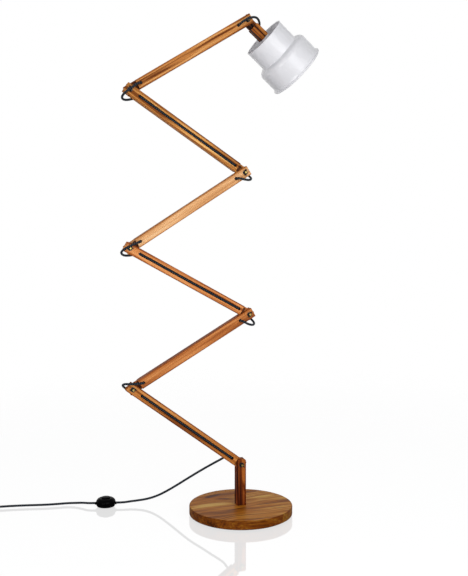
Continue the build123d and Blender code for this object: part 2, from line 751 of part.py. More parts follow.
LEAD_POINTS = [
    (-38.5, 50, 154), (-65, 62, 137.5), (-99.5, 78, 114.5), (-133, 88, 93), (-161.5, 106, 70),
    (-189.5, 126, 47.5), (-216, 145, 28.5), (-243, 160, 16.5), (-270, 168.5, 11.5),
    (-297, 171.5, 9.5),
]  # fmt: skip
LEAD_FIRST_RUN = 22.0
LEAD_LAST_RUN = 20.0


def cord_lead():
    """From the hole in the lowest arm's back down to the foot switch."""
    start = hole_place(0, "low")
    end, way = switch_port(1)
    points = [(start.X, FACE, start.Z), (start.X, FACE + LEAD_FIRST_RUN, start.Z)]
    points += [*LEAD_POINTS, tuple(end + LEAD_LAST_RUN * way), tuple(end)]
    return tube("cord_lead", points)


TAIL_POINTS = [
    (-433, 206, 7), (-453, 219, 4.2), (-478, 227, 3.25), (-506, 227, 3.25),
    (-535, 229, 3.25), (-563, 233.5, 3.25), (-591, 239, 3.25), (-618, 243.5, 3.25),
    (-645, 247, 3.25), (-672, 249, 3.25),
]  # fmt: skip
TAIL_FIRST_RUN = 18.0
TAIL_TURN_IN = 24.0


def coil_line(turns):
    """The coil's centre line and its direction, this many turns from where it begins."""
    climb_from, climb_to = COIL_TURNS_IN, COIL_TURNS_IN + COIL_TURNS_CLIMB
    inner = COIL_R - COIL_PITCH * climb_from
    low = CORD_R
    if turns <= climb_from:
        radius, grow, height, rise = COIL_R - COIL_PITCH * turns, -COIL_PITCH, low, 0.0
    elif turns >= climb_to:
        radius, grow = inner + COIL_PITCH * (turns - climb_to), COIL_PITCH
        height, rise = low + COIL_RISE, 0.0
    else:
        share = (turns - climb_from) / COIL_TURNS_CLIMB
        radius = inner - COIL_PITCH * COIL_TURNS_CLIMB * share * (1 - share)
        grow = -COIL_PITCH * (1 - 2 * share)
        height = low + COIL_RISE * (1 - cos(pi * share)) / 2
        rise = COIL_RISE * sin(pi * share) * pi / 2 / COIL_TURNS_CLIMB
    angle = 2 * pi * (COIL_START_TURN + turns)
    place = Vector(COIL_X + radius * cos(angle), COIL_Y + radius * sin(angle), height)
    along = 2 * pi * radius
    way = Vector(
        grow * cos(angle) - along * sin(angle), grow * sin(angle) + along * cos(angle), rise
    )
    return place, way.normalized()


def biarc(start, start_way, end, end_way):
    """Two arcs that meet smoothly between two places, each with its direction."""
    chord, ways = end - start, start_way + end_way
    bend = 2 * (1 - start_way.dot(end_way))
    reach = (-chord.dot(ways) + sqrt(chord.dot(ways) ** 2 + bend * chord.dot(chord))) / bend
    middle = (start + end + reach * (start_way - end_way)) / 2
    first = TangentArc(start, middle, tangent=start_way)
    return [first, TangentArc(middle, end, tangent=first % 1)]


def coil_path():
    """The whole line: a straight start, quarter turns in two layers, and a run out to the plug."""
    turns = COIL_TURNS_IN + COIL_TURNS_CLIMB + COIL_TURNS_OUT
    stops = [coil_line(n / 4) for n in range(round(turns * 4) + 1)]
    # The first and last stops point exactly along the runs that join them.
    stops[0] = (stops[0][0], Vector(-1, 0, 0))
    stops[-1] = (stops[-1][0], Vector(0, -1, 0))
    edges = [Line(stops[0][0] + Vector(CORD_D, 0, 0), stops[0][0])]
    for (place, way), (next_place, next_way) in zip(stops, stops[1:]):
        edges += biarc(place, way, next_place, next_way)
    last = stops[-1][0]
    swing = last + Vector(-COIL_END_SIDE / 2, -COIL_END_RUN / 2, (PLUG_Z - last.Z) / 2)
    end = last + Vector(-COIL_END_SIDE, -COIL_END_RUN, PLUG_Z - last.Z)
    first = TangentArc(last, swing, tangent=Vector(0, -1, 0))
    edges += [first, TangentArc(swing, end, tangent=first % 1)]
    edges.append(Line(end, end - Vector(0, CORD_D, 0)))
    return edges


def cord_tail():
    """From the foot switch along the floor to the coil."""
    start, way = switch_port(-1)
    stop = coil_line(0)[0] + Vector(CORD_D, 0, 0)
    points = [tuple(start), tuple(start + TAIL_FIRST_RUN * way), *TAIL_POINTS]
    points += [tuple(stop + Vector(TAIL_TURN_IN, 0, 0)), tuple(stop)]
    return tube("cord_tail", points)


def cord_coil():
    """The rest of the cord, wound in two layers, ending at the plug."""
    edges = coil_path()
    path = Wire(edges)
    solid = swept(path, edges[0] @ 0, edges[0] % 0, CORD_R)
    share = solid.volume / (pi * CORD_R**2 * path.length)
    print(f"cord_coil: length {path.length:.0f}, volume share {share:.4f}, gap {coil_gap():.2f}")
    return solid


def coil_gap(steps=48):
    """The least distance between the coil's surface and itself, a third of a turn or more away."""
    turns = COIL_TURNS_IN + COIL_TURNS_CLIMB + COIL_TURNS_OUT
    points = [coil_line(n / steps)[0] for n in range(round(turns * steps) + 1)]
    least = min(
        (points[b] - points[a]).length
        for a in range(len(points))
        for b in range(a + steps // 3, len(points))
    )
    return least - CORD_D


def plug_place():
    """The end face of the cord, where the plug's strain relief begins."""
    return coil_path()[-1] @ 1


def on_plug(shape):
    """A shape from the plug's frame, X from the cord to the pins, to its place."""
    return Pos(*plug_place()) * Rot(0, 0, -90) * shape


def plug_body():
    """A flat two-pin plug with a tapered strain relief."""
    nose = spun(
        [(0, 0), (0, PLUG_NOSE_R), (PLUG_NOSE_LENGTH, PLUG_NOSE_ROOT_R), (PLUG_NOSE_LENGTH, 0)]
    )
    end = PLUG_NOSE_LENGTH + PLUG_LENGTH
    half, back, deep = PLUG_W / 2, PLUG_BACK_W / 2, PLUG_T / 2
    outline = Polyline(
        (PLUG_NOSE_LENGTH, -back),
        (PLUG_NOSE_LENGTH, back),
        (PLUG_NOSE_LENGTH + PLUG_SHOULDER, half),
        (end, half),
        (end, -half),
        (PLUG_NOSE_LENGTH + PLUG_SHOULDER, -half),
        close=True,
    )
    body = extrude(fillet(make_face(outline).vertices(), PLUG_EDGE_R), amount=deep, both=True)
    body = chamfer(body.edges().filter_by(Plane.XY), PLUG_EDGE_R / 2)
    for side in (-1, 1):
        body -= Pos(0, side * PIN_PITCH / 2, 0) * rod_x(PIN_D / 2, end - PIN_IN_BODY, end)
    return on_plug(body + nose)


def plug_pins():
    end = PLUG_NOSE_LENGTH + PLUG_LENGTH
    pins = []
    for side in (-1, 1):
        pin = rod_x(PIN_D / 2, end - PIN_IN_BODY, end + PIN_LENGTH)
        pin = fillet(pin.edges().group_by(Axis.X)[-1], PIN_D / 4)
        pins.append(Pos(0, side * PIN_PITCH / 2, 0) * pin)
    return on_plug(Compound(children=pins))


def nodes():
    """Every node's name and solid."""
    made = {
        "base_disc": base_disc(),
        "ballast_plate": ballast_plate(),
        "ballast_screws": ballast_screws(),
        "base_felt": base_felt(),
        "post": post(),
        "post_insert": post_insert(),
        "post_bolt": post_bolt(),
        "neck": neck(),
        "neck_cable": neck_cable(),
        "socket_collar": socket_collar(),
        "holder_nipple": holder_nipple(),
        "shade_bridge": shade_bridge(),
        "shade": shade(),
        "lamp_holder": lamp_holder(),
        "holder_sleeve": holder_sleeve(),
        "bulb_cap": bulb_cap(),
        "bulb_glass": bulb_glass(),
        "switch_base": switch_base(),
        "switch_cover": switch_cover(),
        "switch_button": switch_button(),
        "cord_lead": cord_lead(),
        "cord_tail": cord_tail(),
        "cord_coil": cord_coil(),
        "plug_body": plug_body(),
        "plug_pins": plug_pins(),
    }
    for n in range(len(ARM_RISE)):
        made[f"arm_{n + 1}"] = arm(n)
        made[f"arm_cable_{n + 1}"] = arm_cable(n)
        made[f"cable_loop_{n + 2}"] = cable_loop(n)
    for n in range(len(PIVOTS)):
        made[f"hinge_bolt_{n + 1}"] = hinge_bolt(n)
        made[f"wing_nut_{n + 1}"] = wing_nut(n)
    return made


os.makedirs("parts", exist_ok=True)
for name, solid in nodes().items():
    export_step(solid, f"parts/{name}.step")
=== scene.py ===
"""Dresses the zig-zag floor lamp: its camera, cords, finishes, floor and lights. Metres, +Z up."""

import json
from math import cos, pi, radians, sin

import bpy
from mathutils import Euler, Matrix, Vector


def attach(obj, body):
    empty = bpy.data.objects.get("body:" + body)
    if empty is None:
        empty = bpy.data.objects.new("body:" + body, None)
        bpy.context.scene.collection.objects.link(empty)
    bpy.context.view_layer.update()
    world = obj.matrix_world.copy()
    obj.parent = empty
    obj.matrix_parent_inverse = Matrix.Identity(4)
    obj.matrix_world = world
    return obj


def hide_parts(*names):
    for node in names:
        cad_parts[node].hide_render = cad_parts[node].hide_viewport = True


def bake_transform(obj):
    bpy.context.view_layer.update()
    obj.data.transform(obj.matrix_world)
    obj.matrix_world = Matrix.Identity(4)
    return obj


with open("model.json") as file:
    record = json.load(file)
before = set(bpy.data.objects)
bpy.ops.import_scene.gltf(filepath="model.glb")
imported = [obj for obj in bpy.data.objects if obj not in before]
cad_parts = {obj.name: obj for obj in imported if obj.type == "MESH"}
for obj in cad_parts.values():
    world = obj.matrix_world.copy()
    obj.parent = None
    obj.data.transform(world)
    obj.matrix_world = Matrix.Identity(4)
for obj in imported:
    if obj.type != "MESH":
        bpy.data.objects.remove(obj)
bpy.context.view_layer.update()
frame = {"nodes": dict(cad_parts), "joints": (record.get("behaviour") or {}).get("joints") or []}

# Camera, fitted to the photograph's 468 by 576 pixels: angles in degrees, lens and sensor in mm
EYE = (-0.71273, -2.36351, 0.81927)
PITCH = -3.7215
YAW = -16.323
LENS = 53.889
SENSOR = 36.0
FARTHEST = 60.0

# The lamp's own sizes, as its solids have them
ARM_COUNT = 6
ARMS = range(ARM_COUNT)
JOINTS = {joint["name"]: joint for joint in frame["joints"]}
PIVOTS = [Vector(JOINTS[f"arm_joint_{n + 1}"]["pos_m"]) for n in ARMS]
PIVOTS.append(Vector(JOINTS["head_joint"]["pos_m"]))
HINGES = range(1, len(PIVOTS) + 1)
LINKS = ["base"] + [f"link_{n + 1}" for n in ARMS] + ["head"]
NECK_DROP = 40.6  # degrees below +X
FACE = 0.01275  # half the stock's depth, front to back
HALF_STOCK = 0.01375  # half the stock's height
CORD_D = 0.0065
GROOVE_Y = 0.009  # from the stock's middle to the cord's middle
HOLE_LOW = 0.035  # from an arm's lower pivot to its cord hole
HOLE_HIGH = 0.0322  # from an arm's upper pivot to its cord hole
NECK_HOLE = 0.045
NECK_LENGTH = 0.068
NECK_CORD_END = 0.0965
SHADE_CANT = 3.0  # degrees from the neck's line
TENON_END = 0.012  # past an arm's lower pivot
FORK_END = 0.014  # past an arm's upper pivot
WASHER_T = 0.0012
BASE_R = 0.150
BASE_TOP = 0.0274
POST_X = -0.0015
POST_TOP = 0.163


def heading(n):
    """The angle of an arm above +X, seen from the front, in radians."""
    along = PIVOTS[n + 1] - PIVOTS[n]
    return Vector((1, 0)).angle_signed(Vector((along.x, -along.z)))


def arm_length(n):
    """From an arm's lower pivot to its upper pivot."""
    return (PIVOTS[n + 1] - PIVOTS[n]).length


def arm_matrix(n):
    """The place of an arm's own frame: its lower pivot, with X along the arm."""
    return Matrix.Translation(PIVOTS[n]) @ Matrix.Rotation(-heading(n), 4, "Y")


def neck_matrix():
    return Matrix.Translation(PIVOTS[-1]) @ Matrix.Rotation(radians(NECK_DROP), 4, "Y")


# Camera


def make_camera():
    camera = bpy.data.cameras.new("camera")
    camera.lens = LENS
    camera.sensor_width = SENSOR
    camera.clip_end = FARTHEST
    eye = bpy.data.objects.new("camera", camera)
    eye.location = EYE
    eye.rotation_euler = (radians(90 + PITCH), 0, radians(YAW))
    bpy.context.collection.objects.link(eye)
    bpy.context.scene.camera = eye


# Node helpers

WHITE = (1, 1, 1, 1)


class Nodes:
    """The nodes of a material or a world, added one call at a time."""

    def __init__(self, owner, output="ShaderNodeOutputMaterial"):
        owner.use_nodes = True
        self.owner = owner
        self.tree = owner.node_tree
        self.tree.nodes.clear()
        self.output = self.add(output)

    def add(self, kind, inputs=None, **settings):
        """A node with its settings and inputs; an input is a value or another node's socket."""
        node = self.tree.nodes.new(kind)
        for key, value in settings.items():
            setattr(node, key, value)
        for key, value in (inputs or {}).items():
            if isinstance(value, bpy.types.NodeSocket):
                self.tree.links.new(value, node.inputs[key])
            else:
                node.inputs[key].default_value = value
        return node

    def math(self, operation, a, b=0.0, c=0.0, clamp=False):
        node = self.add("ShaderNodeMath", {0: a, 1: b, 2: c}, operation=operation)
        node.use_clamp = clamp
        return node.outputs[0]

    def wave(self, turns):
        """A wave between 0 and 1 over a number of turns."""
        sine = self.math("SINE", self.math("MULTIPLY", turns, 2 * pi))
        return self.math("MULTIPLY_ADD", sine, 0.5, 0.5)

    def step(self, value, low, high, to_low=0.0, to_high=1.0):
        """A smooth change from one value to another between two levels."""
        inputs = {"Value": value, "From Min": low, "From Max": high}
        inputs |= {"To Min": to_low, "To Max": to_high}
        node = self.add("ShaderNodeMapRange", inputs, interpolation_type="SMOOTHSTEP")
        return node.outputs["Result"]

    def coords(self):
        """Where a point is at rest, which moves with its piece."""
        return self.add("ShaderNodeTexCoord").outputs["Object"]

    def vector(self, x=0.0, y=0.0, z=0.0):
        return self.add("ShaderNodeCombineXYZ", {0: x, 1: y, 2: z}).outputs[0]

    def parts(self, vector):
        """A vector's X, Y and Z."""
        return self.add("ShaderNodeSeparateXYZ", {0: vector}).outputs

    def length(self, vector):
        node = self.add("ShaderNodeVectorMath", {0: vector}, operation="LENGTH")
        return node.outputs["Value"]

    def moved(self, vector, by):
        node = self.add("ShaderNodeVectorMath", {0: vector, 1: by}, operation="ADD")
        return node.outputs[0]

    def scaled(self, vector, factors):
        node = self.add("ShaderNodeVectorMath", {0: vector, 1: factors}, operation="MULTIPLY")
        return node.outputs[0]

    def local(self, vector, place=(0, 0, 0), turn=(0, 0, 0), size=(1, 1, 1)):
        """A vector as a frame has it that is placed, turned and sized."""
        inputs = {"Vector": vector, "Location": place, "Rotation": turn, "Scale": size}
        return self.add("ShaderNodeMapping", inputs, vector_type="TEXTURE").outputs[0]

    def noise(self, vector, detail=3.0, roughness=0.5, distortion=0.0, scale=1.0):
        inputs = {"Vector": vector, "Scale": scale, "Detail": detail}
        inputs |= {"Roughness": roughness, "Distortion": distortion}
        return self.add("ShaderNodeTexNoise", inputs).outputs["Fac"]

    def mark(self, vector, place, turn, reach):
        """1 in the middle of a soft patch of a given half length each way, and 0 outside it."""
        return self.step(self.length(self.local(vector, place, turn, reach)), 0.25, 1.0, 1.0, 0.0)

    def ramp(self, value, stops):
        """Colours between (level, colour) stops, the value kept between 0 and 1."""
        node = self.add("ShaderNodeValToRGB", {"Fac": self.math("ADD", value, clamp=True)})
        band = node.color_ramp
        while len(band.elements) < len(stops):
            band.elements.new(0.5)
        for element, (level, colour) in zip(band.elements, stops):
            element.position = level
            element.color = colour
        return node.outputs["Color"]

    def mix(self, factor, a, b, blend="MIX"):
        inputs = {0: factor, 6: a, 7: b}
        node = self.add("ShaderNodeMix", inputs, data_type="RGBA", blend_type=blend)
        return node.outputs[2]

    def shade(self, colour, tint, where):
        """A colour multiplied by a tint as far as a mask says."""
        return self.mix(1.0, colour, self.mix(where, WHITE, tint), "MULTIPLY")

    def bump(self, height, distance, strength=1.0):
        inputs = {"Height": height, "Distance": distance, "Strength": strength}
        return self.add("ShaderNodeBump", inputs).outputs["Normal"]

    def mix_shader(self, factor, a, b):
        return self.add("ShaderNodeMixShader", {0: factor, 1: a.outputs[0], 2: b.outputs[0]})

    def show(self, shader):
        """Makes a shader the surface of the material or world, and returns that."""
        self.tree.links.new(shader.outputs[0], self.output.inputs["Surface"])
        return self.owner

    def surface(self, **inputs):
        """The finished Principled surface; underscores in the names stand for spaces."""
        named = {key.replace("_", " "): value for key, value in inputs.items()}
        return self.show(self.add("ShaderNodeBsdfPrincipled", named))


def new_nodes(name):
    return Nodes(bpy.data.materials.new(name))


def rgb(red, green, blue):
    """A colour from its display values, 0 to 255, as the linear one that shaders take."""
    shares = [value / 255 for value in (red, green, blue)]
    linear = [v / 12.92 if v <= 0.04045 else ((v + 0.055) / 1.055) ** 2.4 for v in shares]
    return (*linear, 1.0)


def grey(level):
    return (level, level, level, 1)


def paint(material, *nodes):
    """Gives CAD nodes a material in place of their own."""
    for node in nodes:
        mesh = frame["nodes"][node].data
        mesh.materials.clear()
        mesh.materials.append(material)


# Cords

# The routes' points are listed here, and the solids have the same ones. A loop's points are
# offsets from the pivot that it goes round.
LEAD_ROUTE = [
    (-0.0385, 0.050, 0.154), (-0.065, 0.062, 0.1375), (-0.0995, 0.078, 0.1145),
    (-0.133, 0.088, 0.093), (-0.1615, 0.106, 0.070), (-0.1895, 0.126, 0.0475),
    (-0.216, 0.145, 0.0285), (-0.243, 0.160, 0.0165), (-0.270, 0.1685, 0.0115),
    (-0.297, 0.1715, 0.0095),
]  # fmt: skip
TAIL_ROUTE = [
    (-0.433, 0.206, 0.007), (-0.453, 0.219, 0.0042), (-0.478, 0.227, 0.00325),
    (-0.506, 0.227, 0.00325), (-0.535, 0.229, 0.00325), (-0.563, 0.2335, 0.00325),
    (-0.591, 0.239, 0.00325), (-0.618, 0.2435, 0.00325), (-0.645, 0.247, 0.00325),
    (-0.672, 0.249, 0.00325),
]  # fmt: skip
LOOP_ROUTES = {
    1: [(0.006, 0.025, -0.0145), (-0.007, 0.026, -0.007), (-0.0175, 0.022, 0.0005),
        (-0.025, 0.010, 0.008), (-0.0265, -0.006, 0.015), (-0.019, -0.0185, 0.018),
        (-0.006, -0.024, 0.0175), (0.010, -0.025, 0.018)],
    2: [(-0.0215, -0.025, -0.0185), (-0.006, -0.0225, -0.027), (0.0105, -0.012, -0.031),
        (0.020, 0.002, -0.0285), (0.020, 0.016, -0.022), (0.0115, 0.025, -0.012),
        (-0.005, 0.026, 0.002)],
    3: [(0.0165, 0.025, -0.019), (-0.001, 0.0205, -0.021), (-0.0155, 0.009, -0.0195),
        (-0.0235, -0.004, -0.0125), (-0.021, -0.017, -0.005), (-0.0095, -0.027, 0.003),
        (0.005, -0.029, 0.010), (0.018, -0.026, 0.0155)],
    4: [(-0.019, -0.025, -0.017), (-0.003, -0.022, -0.0205), (0.0135, -0.012, -0.021),
        (0.0235, 0.002, -0.0165), (0.023, 0.016, -0.0095), (0.013, 0.025, 0.0),
        (-0.006, 0.026, 0.0125)],
    5: [(0.0145, 0.025, -0.020), (-0.001, 0.0205, -0.0245), (-0.015, 0.009, -0.026),
        (-0.022, -0.004, -0.0215), (-0.018, -0.017, -0.0135), (-0.0075, -0.027, -0.005),
        (0.0045, -0.029, 0.0035), (0.017, -0.026, 0.0135)],
    6: [(-0.017, -0.0255, -0.008), (-0.004, -0.029, -0.0005), (0.012, -0.025, 0.006),
        (0.0275, -0.0125, 0.0075), (0.039, 0.003, 0.002), (0.0445, 0.017, -0.008)],
}  # fmt: skip
LEAD_FIRST_RUN = 0.022
LEAD_LAST_RUN = 0.020
TAIL_FIRST_RUN = 0.018
TAIL_LAST_RUN = 0.024
BEND_START = 0.6  # cord diameters from a hole to the end of its bend, in a groove
BEND_END = 3.2  # cord diameters from a hole to where the groove's run is straight
HOLE_MIDDLE = 0.2  # share of the way out to a groove's cord of the point inside its holes
NECK_HOLE_MIDDLE = 0.3  # the same for the neck's hole, out to its face
SWITCH = Vector((-0.368, 0.181, 0.0085))
SWITCH_TURN = -12.0  # degrees from X
SWITCH_REACH = 0.032  # from the foot switch's middle to its cord outlets
COIL_X = -0.738
COIL_Y = 0.2035
COIL_R = 0.0465
COIL_PITCH = 0.0071
COIL_RISE = 0.0071
COIL_START = 0.25  # turns from +X
COIL_TURNS_IN = 2.25
COIL_TURNS_CLIMB = 0.5
COIL_TURNS_OUT = 2.5
COIL_POINTS = 20  # a turn
COIL_END_SIDE = 0.0045
COIL_END_RUN = 0.034
COIL_END_EASE = 0.3  # share of that run that is straight at each end
PLUG_Z = 0.007
ROUND = 20  # sides of a cord


def spline_line(name, points, resolution=10):
    """Points along the smooth NURBS line of a route."""
    curve = bpy.data.curves.new(name, "CURVE")
    curve.dimensions = "3D"
    curve.resolution_u = resolution
    spline = curve.splines.new("NURBS")
    spline.points.add(len(points) - 1)
    for knot, point in zip(spline.points, points):
        knot.co = (*point, 1.0)
    spline.order_u = 3
    spline.use_endpoint_u = True
    holder = bpy.data.objects.new(name, curve)
    mesh = bpy.data.meshes.new_from_object(holder)
    line = [vertex.co.copy() for vertex in mesh.vertices]
    bpy.data.objects.remove(holder)
    bpy.data.meshes.remove(mesh)
    bpy.data.curves.remove(curve)
    return line


def cord_tube(name, line, cloth):
    """The cord along a line, its UV map giving the turn round it and metres along it."""
    tangents = [(b - a).normalized() for a, b in zip(line, line[1:])]
    ways = [tangents[0]] + [(a + b).normalized() for a, b in zip(tangents, tangents[1:])]
    ways.append(tangents[-1])
    side = ways[0].orthogonal().normalized()
    radius = CORD_D / 2
    vertices, along, lengths = [], 0.0, []
    for n, (point, way) in enumerate(zip(line, ways)):
        side = (side - way * side.dot(way)).normalized()
        over = way.cross(side)
        if n:
            along += (point - line[n - 1]).length
        lengths.append(along)
        for step in range(ROUND):
            turn = 2 * pi * step / ROUND
            vertices.append(point + radius * (cos(turn) * side + sin(turn) * over))
    faces, corners = [], []
    for n in range(len(line) - 1):
        ring, next_ring = n * ROUND, (n + 1) * ROUND
        for step in range(ROUND):
            after = (step + 1) % ROUND
            faces.append((ring + step, ring + after, next_ring + after, next_ring + step))
            left, right = step / ROUND, (step + 1) / ROUND
            corners += [(left, lengths[n]), (right, lengths[n])]
            corners += [(right, lengths[n + 1]), (left, lengths[n + 1])]
    for start, order in ((0, -1), ((len(line) - 1) * ROUND, 1)):
        faces.append([start + step for step in range(ROUND)][::order])
        corners += [(0, 0)] * ROUND
    mesh = bpy.data.meshes.new(name)
    mesh.from_pydata(vertices, [], faces)
    layer = mesh.uv_layers.new(name="along")
    for loop, corner in zip(layer.data, corners):
        loop.uv = corner
    mesh.shade_smooth()
    mesh.materials.append(cloth)
    piece = bpy.data.objects.new(name, mesh)
    bpy.context.collection.objects.link(piece)
    return piece


def cord_side(n):
    """The face that an arm's groove is in: the front, -1, on the first, third and fifth."""
    return -1 if n % 2 == 0 else 1


def hole(n, along):
    """A point of an arm's centre line."""
    return arm_matrix(n) @ Vector((along, 0, 0))


def high_hole(n):
    return hole(n, arm_length(n) - HOLE_HIGH)


def groove_cord(n, cloth):
    """The cord in an arm: in at the lower hole, along the groove, out at the upper hole."""
    side = cord_side(n)
    length = arm_length(n)
    low, high = HOLE_LOW, length - HOLE_HIGH
    near, past = CORD_D * BEND_START, CORD_D * BEND_END
    deep, far = side * GROOVE_Y, -side * FACE
    inside = deep * HOLE_MIDDLE
    route = [(low, far, 0), (low, inside, 0), (low, deep, 0), (low + near, deep, 0)]
    route += [(low + past, deep, 0), (length / 2, deep, 0), (high - past, deep, 0)]
    route += [(high - near, deep, 0), (high, deep, 0), (high, inside, 0), (high, far, 0)]
    place = arm_matrix(n)
    name = f"groove_cord_{n + 1}"
    line = spline_line(name, [place @ Vector(point) for point in route], resolution=12)
    piece = cord_tube(name, line, cloth)
    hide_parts(f"arm_cable_{n + 1}")
    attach(piece, LINKS[n + 1])


def neck_cord(cloth):
    """From the hole in the neck's back along the neck, then in line with the shade."""
    way = Vector((cos(radians(SHADE_CANT)), sin(radians(SHADE_CANT)), 0))
    middle = Vector((NECK_LENGTH, 0, 0))
    inner = middle + way * (NECK_HOLE - NECK_LENGTH) / way.x
    end = middle + way * (NECK_CORD_END - NECK_LENGTH)
    route = [Vector((NECK_HOLE, FACE, 0)), Vector((NECK_HOLE, FACE * NECK_HOLE_MIDDLE, 0))]
    route += [inner, inner + CORD_D * way, end - CORD_D * way, end]
    line = spline_line("neck_cord", [neck_matrix() @ point for point in route])
    piece = cord_tube("neck_cord", line, cloth)
    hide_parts("neck_cable")
    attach(piece, "head")


def joint_loop(n, cloth):
    """The cord round the joint above arm n, from that arm's upper hole to the next lower hole."""
    side = -cord_side(n)
    start = high_hole(n)
    if n + 1 < ARM_COUNT:
        stop, far = hole(n + 1, HOLE_LOW), -side
    else:
        stop, far = neck_matrix() @ Vector((NECK_HOLE, 0, 0)), 1
    out = FACE + CORD_D
    route = [(start.x, side * FACE, start.z), (start.x, side * out, start.z)]
    route += [tuple(PIVOTS[n + 1] + Vector(offset)) for offset in LOOP_ROUTES[n + 1]]
    route += [(stop.x, far * out, stop.z), (stop.x, far * FACE, stop.z)]
    name = f"loop_cord_{n + 2}"
    line = spline_line(name, route)
    piece = cord_tube(name, line, cloth)
    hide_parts(f"cable_loop_{n + 2}")
    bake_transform(piece)


def switch_way(side):
    turn = radians(SWITCH_TURN)
    return side * Vector((cos(turn), sin(turn), 0))


def lead_cord(cloth):
    """From the hole in the lowest arm's back to the foot switch."""
    start = hole(0, HOLE_LOW)
    way = switch_way(1)
    end = SWITCH + SWITCH_REACH * way
    route = [(start.x, FACE, start.z), (start.x, FACE + LEAD_FIRST_RUN, start.z), *LEAD_ROUTE]
    route += [tuple(end + LEAD_LAST_RUN * way), tuple(end)]
    line = spline_line("lead_cord", route)
    piece = cord_tube("lead_cord", line, cloth)
    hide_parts("cord_lead")
    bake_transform(piece)


def coil_point(turns):
    """A point of the coil's centre line, this many turns from where it begins."""
    climb_to = COIL_TURNS_IN + COIL_TURNS_CLIMB
    inner = COIL_R - COIL_PITCH * COIL_TURNS_IN
    low = CORD_D / 2
    if turns <= COIL_TURNS_IN:
        radius, height = COIL_R - COIL_PITCH * turns, low
    elif turns >= climb_to:
        radius, height = inner + COIL_PITCH * (turns - climb_to), low + COIL_RISE
    else:
        share = (turns - COIL_TURNS_IN) / COIL_TURNS_CLIMB
        radius = inner - COIL_PITCH * COIL_TURNS_CLIMB * share * (1 - share)
        height = low + COIL_RISE * (1 - cos(pi * share)) / 2
    angle = 2 * pi * (COIL_START + turns)
    return Vector((COIL_X + radius * cos(angle), COIL_Y + radius * sin(angle), height))


def coil_route():
    """The coil's turns and the run out of it to the plug."""
    turns = COIL_TURNS_IN + COIL_TURNS_CLIMB + COIL_TURNS_OUT
    route = [coil_point(n / COIL_POINTS) for n in range(round(turns * COIL_POINTS) + 1)]
    last = route[-1]
    end = last + Vector((-COIL_END_SIDE, -COIL_END_RUN, PLUG_Z - last.z))
    ease = Vector((0, COIL_END_RUN * COIL_END_EASE, 0))
    return route + [last - ease, end + ease, end, end - Vector((0, CORD_D, 0))]


def tail_cord(cloth):
    """From the foot switch along the floor, through the coil, to the plug."""
    way = switch_way(-1)
    start = SWITCH + SWITCH_REACH * way
    turn_in = coil_point(0) + Vector((CORD_D + TAIL_LAST_RUN, 0, 0))
    route = [tuple(start), tuple(start + TAIL_FIRST_RUN * way), *TAIL_ROUTE, tuple(turn_in)]
    route += [tuple(point) for point in coil_route()]
    line = spline_line("tail_cord", route, resolution=4)
    piece = cord_tube("tail_cord", line, cloth)
    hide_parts("cord_tail", "cord_coil")
    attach(piece, "base")


# Finishes

STRANDS = 8.0  # of the braid, each way round the cord
STRAND_PITCH = 0.0062
FIBRES_AROUND = 14.0  # fibres across a strand
FIBRES_ALONG = 9.0
# Painted shade on the wood: on the long edges and the faces across Z, on a tenon's cheeks and in a
# fork's slot, darkest in the groove and holes; and on the base's rim and side
EDGE_PAINTED_SHADE = (0.60, 0.42, 0.22, 1)
CHEEK_PAINTED_SHADE = (0.42, 0.32, 0.24, 1)
RECESS_PAINTED_SHADE = (0.14, 0.09, 0.06, 1)
BASE_SIDE_PAINTED_SHADE = (0.34, 0.26, 0.10, 1)
CHEEK_END = 0.0275  # how far a tenon's cheeks and a fork's slot reach from the end of an arm
CHEEK_SOFT = 0.0015
SKIN_FROM = 0.0020  # how deep under a face the wood begins to count as cut into
SKIN_TO = 0.0045
BASE_GRAIN = 7.0  # degrees from X
BASE_PORE = rgb(84, 46, 20)
THREAD_PITCH = 0.001
FAR = 1000.0  # a reach that leaves a direction out


def braid():
    """Black braided cloth whose raised strands turn round it, with a painted blue-grey sheen on
    them.
    """
    n = new_nodes("cord_cloth")
    around, along, _ = n.parts(n.add("ShaderNodeUVMap", uv_map="along").outputs[0])
    turns = n.math("MULTIPLY", around, STRANDS)
    steps = n.math("MULTIPLY", along, 1 / STRAND_PITCH)
    ways = [n.wave(n.math(way, steps, turns)) for way in ("ADD", "SUBTRACT")]
    weave = n.math("MAXIMUM", *ways)
    twist = n.wave(n.math("ADD", steps, around))
    across = n.math("MULTIPLY", turns, FIBRES_AROUND)
    fibres = n.noise(n.vector(across, n.math("MULTIPLY", steps, FIBRES_ALONG)), detail=2.0)
    height = n.math("MULTIPLY_ADD", fibres, 0.25, weave)
    # Painted sheen: the raised strands and the twist lighter, up to blue-grey
    painted_sheen = n.math("MULTIPLY_ADD", weave, 0.7, n.math("MULTIPLY", twist, 0.3))
    colour = n.ramp(painted_sheen, [(0.35, rgb(8, 8, 10)), (0.7, rgb(19, 22, 26)), (1.0, rgb(66, 78, 92))])
    return n.surface(
        Base_Color=colour, Roughness=n.step(fibres, 0.2, 0.8, 0.5, 0.7), Sheen_Weight=0.03,
        Sheen_Roughness=0.4, Specular_IOR_Level=0.15, Normal=n.bump(height, 0.0002, 0.6),
    )  # fmt: skip


def with_pores(n, colour, pores, dark, strength):
    """Dark flecks where the fine noise is high."""
    return n.mix(n.step(pores, 0.60, 0.80, 0.0, strength), colour, dark)


def oiled(n, colour, rings, pores, rough, smooth):
    """The surface of oiled wood, with raised growth lines and sunken pores."""
    relief = n.math("MULTIPLY_ADD", pores, -0.4, n.math("MULTIPLY", rings, 0.5))
    return n.surface(
        Base_Color=colour, Roughness=n.step(rings, 0.3, 0.7, rough, smooth),
        Specular_IOR_Level=0.08, Normal=n.bump(relief, 0.00005, 0.4),
    )  # fmt: skip


